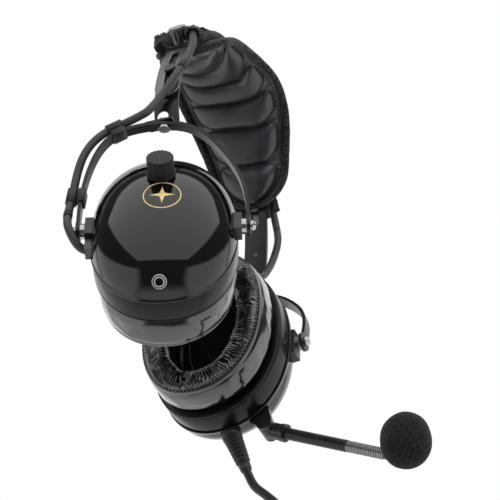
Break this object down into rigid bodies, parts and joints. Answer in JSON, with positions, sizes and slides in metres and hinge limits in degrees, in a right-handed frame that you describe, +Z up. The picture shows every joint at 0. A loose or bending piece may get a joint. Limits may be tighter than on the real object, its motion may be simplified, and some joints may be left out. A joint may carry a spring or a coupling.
{
  "type": "aviation headset",
  "caption": "Over-ear headset with padded steel head band, sliding swivelling ear cups, boom microphone with foam windscreen, and a cord with twin plugs.",
  "frame": {"origin": "where the underside of the head pad rests on the crown of the wearer's head", "axes": "+Z up, the wearer faces -Y, +X towards the wearer's left ear"},
  "size_m": [0.174, 0.189, 0.577],
  "materials": {
    "band steel": "satin dark grey strap steel",
    "dark screws": "blackened steel",
    "bright screws": "polished nickel",
    "knob plastic": "satin black, fluted",
    "clip plastic": "satin black",
    "gloss shell": "high gloss black",
    "seal vinyl": "glossy black vinyl",
    "pad leather": "satin dark grey leatherette",
    "mesh cloth": "coarse black mesh",
    "cable jacket": "satin grey jacket",
    "cord jacket": "satin black jacket",
    "liner foam": "black open foam",
    "speaker metal": "dark grey",
    "boom tube": "satin black",
    "windscreen foam": "black open foam",
    "relief rubber": "matt black rubber",
    "plug metal": "nickel plated"
  },
  "bodies": {
    "band": {"band_strap": "band steel", "head_pad": "pad leather", "pad_cover": "mesh cloth", "pad_sleeve": "mesh cloth", "clamp_bolts": "dark screws", "cable_crown": "cable jacket"},
    "knob_left": {"adjuster_knob_left": "knob plastic"},
    "knob_right": {"adjuster_knob_right": "knob plastic"},
    "slider_left": {"hanger_left": "band steel", "hanger_screws_left": "bright screws"},
    "slider_right": {"hanger_right": "band steel", "hanger_screws_right": "bright screws"},
    "yoke_left": {"stirrup_left": "band steel", "link_cable_left": "cable jacket"},
    "yoke_right": {"stirrup_right": "band steel", "cable_clips_right": "clip plastic", "link_cable_right": "cable jacket"},
    "volume": {"volume_knob": "knob plastic"},
    "boom": {"boom_hub": "clip plastic", "boom_tube": "boom tube", "gooseneck": "boom tube", "mic_capsule": "clip plastic", "windscreen": "windscreen foam"},
    "cup_right": {"cup_shell_right": "gloss shell", "back_plate_right": "gloss shell", "ear_seal_right": "seal vinyl", "foam_liner_right": "liner foam", "speaker_right": "speaker metal", "pivot_blocks_right": "clip plastic", "pivot_screws_right": "bright screws", "p_clip_right": "bright screws", "jack_socket": "bright screws", "volume_pot": "bright screws"},
    "cup_left": {"cup_shell_left": "gloss shell", "back_plate_left": "gloss shell", "ear_seal_left": "seal vinyl", "foam_liner_left": "liner foam", "speaker_left": "speaker metal", "pivot_blocks_left": "clip plastic", "pivot_screws_left": "bright screws", "cable_gland_left": "clip plastic", "boom_mount": "clip plastic", "strain_relief": "relief rubber", "cord_run": "cord jacket", "cord_coil": "cord jacket", "cord_tail": "cord jacket", "coil_tie": "relief rubber", "cord_splitter": "relief rubber", "lead_phones": "cord jacket", "lead_mic": "cord jacket", "plug_phones": "plug metal", "plug_mic": "plug metal"}
  },
  "joints": [
    {"name": "knob_left_turn", "type": "hinge", "parent": "band", "child": "knob_left", "pos_m": [0.06929, 0, -0.03812], "axis": [0.9135, 0, 0.4067], "range_deg": [-180, 180]},
    {"name": "slider_left", "type": "hinge", "parent": "band", "child": "slider_left", "pos_m": [-0.04034, 0, -0.08693], "axis": [0, 1, 0], "range_deg": [-5, 2.4], "deforming": ["link_cable_left"]},
    {"name": "swivel_left", "type": "hinge", "parent": "slider_left", "child": "yoke_left", "pos_m": [0.07501, 0, -0.12001], "axis": [0.2756, 0, 0.9613], "range_deg": [-15, 25], "deforming": ["link_cable_left"]},
    {"name": "tilt_left", "type": "hinge", "parent": "yoke_left", "child": "cup_left", "pos_m": [0.056, 0, -0.18634], "axis": [0.1005, 0.9945, -0.0288], "range_deg": [-12, 12], "deforming": ["link_cable_left"]},
    {"name": "knob_right_turn", "type": "hinge", "parent": "band", "child": "knob_right", "pos_m": [-0.06929, 0, -0.03812], "axis": [-0.9135, 0, 0.4067], "range_deg": [-180, 180]},
    {"name": "slider_right", "type": "hinge", "parent": "band", "child": "slider_right", "pos_m": [0.04034, 0, -0.08693], "axis": [0, -1, 0], "range_deg": [-5, 2.4], "deforming": ["link_cable_right"]},
    {"name": "swivel_right", "type": "hinge", "parent": "slider_right", "child": "yoke_right", "pos_m": [-0.07501, 0, -0.12001], "axis": [0.2756, 0, -0.9613], "range_deg": [-8, 35], "deforming": ["link_cable_right"]},
    {"name": "tilt_right", "type": "hinge", "parent": "yoke_right", "child": "cup_right", "pos_m": [-0.056, 0, -0.18634], "axis": [-0.281, 0.9563, -0.0806], "range_deg": [-12, 12], "deforming": ["link_cable_right"]},
    {"name": "volume_turn", "type": "hinge", "parent": "cup_right", "child": "volume", "pos_m": [-0.07825, -0.00498, -0.1678], "axis": [-0.9486, -0.2641, 0.1742], "range_deg": [0, 280]},
    {"name": "boom_swing", "type": "hinge", "parent": "cup_left", "child": "boom", "pos_m": [0.06129, -0.0262, -0.23928], "axis": [-0.9937, 0.0988, -0.0538], "range_deg": [-10, 70]}
  ]
}
